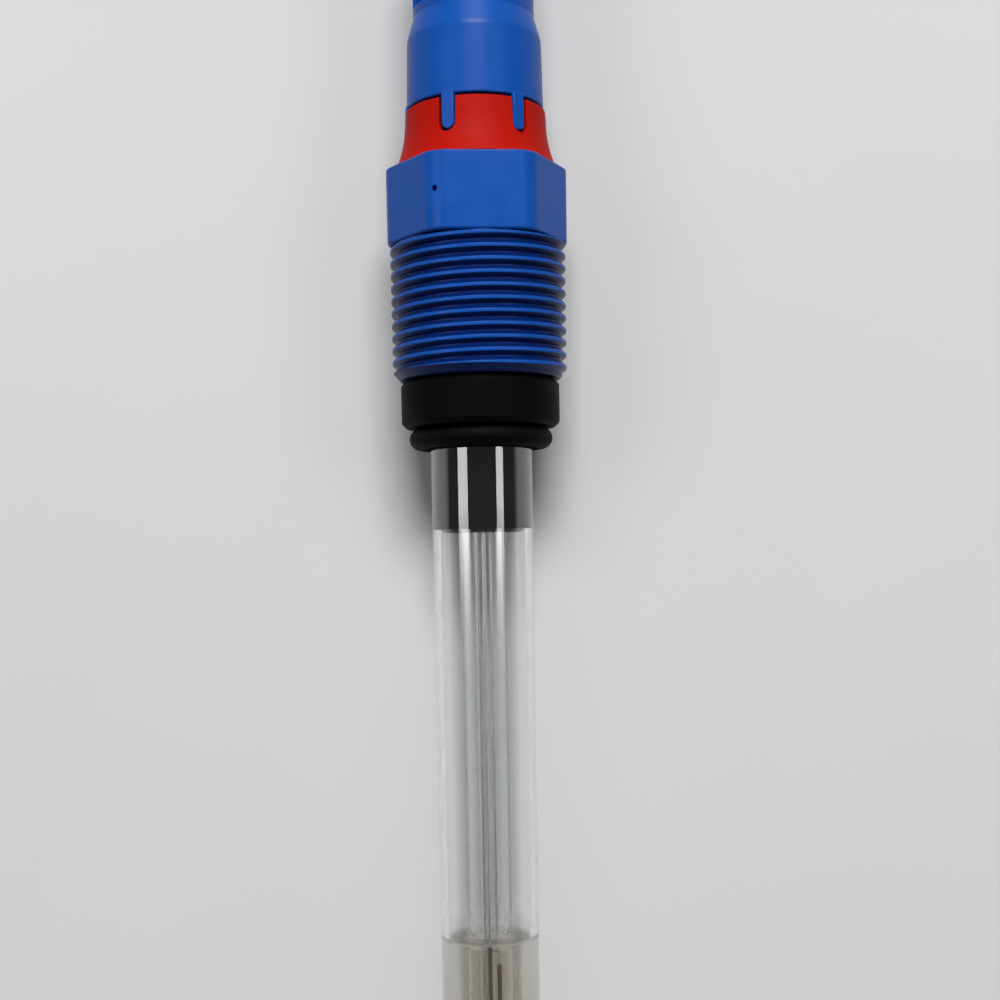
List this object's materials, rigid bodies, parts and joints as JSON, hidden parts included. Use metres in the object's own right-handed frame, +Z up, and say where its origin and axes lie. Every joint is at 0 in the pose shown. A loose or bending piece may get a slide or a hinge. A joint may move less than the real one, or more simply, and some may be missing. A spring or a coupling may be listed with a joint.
{
  "type": "ph electrode",
  "caption": "Glass pH electrode with a screw-in body, slotted crown ring, loose thrust collar, O-ring and an inductive plug-in head, lying at rest.",
  "frame": {"origin": "on the electrode's axis, at the thrust collar's lower face, where the insertion length starts", "axes": "+Y along the electrode towards the plug-in head (the axis rises 2.02 degrees as the electrode lies on a flat surface), +Z up, +X to the right seen from the tip"},
  "size_m": [0.021, 0.1815, 0.0209],
  "materials": {
    "blue_plastic": "moulded blue plastic, soft gloss",
    "red_plastic": "moulded red plastic, soft gloss",
    "black_plastic": "moulded black plastic",
    "black_rubber": "black rubber",
    "stopper_rubber": "black rubber, bonded in the glass",
    "clear_glass": "clear drawn glass",
    "membrane_glass": "thin blown glass",
    "gel": "warm grey translucent gel",
    "buffer": "clear liquid",
    "silver": "bare silver wire",
    "silver_chloride": "dark brown silver chloride coating",
    "sensor_wire": "tinned wire",
    "junction_ceramic": "porous white ceramic",
    "sensor_bead": "glazed bead",
    "resin": "cast resin",
    "board": "green board with a solder mask",
    "chip": "black moulded chip bodies",
    "small_parts": "small board parts",
    "solder": "bright solder",
    "ferrite": "dark grey ferrite",
    "copper": "lacquered copper wire"
  },
  "bodies": {
    "electrode": {"capacitor_1": "small_parts", "capacitor_2": "small_parts", "capacitor_3": "small_parts", "circuit_board": "board", "coil_lead_1": "copper", "coil_lead_2": "copper", "coil_winding": "copper", "controller_chip": "chip", "converter_chip": "chip", "crown_ring": "red_plastic", "ferrite_sleeve": "ferrite", "inner_buffer": "buffer", "inner_tube": "clear_glass", "junction_pin_1": "junction_ceramic", "junction_pin_2": "junction_ceramic", "junction_pin_3": "junction_ceramic", "memory_chip": "chip", "outer_tube": "clear_glass", "ph_element": "silver_chloride", "ph_lead": "silver", "ph_membrane": "membrane_glass", "plug_head": "blue_plastic", "pocket_cup": "blue_plastic", "quartz": "small_parts", "reference_element": "silver_chloride", "reference_gel": "gel", "reference_lead": "silver", "shaft_resin": "resin", "solder_joints": "solder", "stem_plug": "stopper_rubber", "stopper": "stopper_rubber", "temperature_lead_1": "sensor_wire", "temperature_lead_2": "sensor_wire", "temperature_tube": "clear_glass", "thermistor": "sensor_bead", "threaded_body": "blue_plastic"},
    "sealing_ring": {"o_ring": "black_rubber"},
    "collar": {"thrust_collar": "black_plastic"}
  },
  "joints": [
    {"name": "ring_slide", "type": "slide", "parent": "electrode", "child": "sealing_ring", "axis": [0, -0.9994, -0.0353], "range_m": [0, 0.1]},
    {"name": "collar_turn", "type": "hinge", "parent": "sealing_ring", "child": "collar", "pos_m": [0, 0, 0], "axis": [0, 0.9994, 0.0353], "continuous": true}
  ]
}
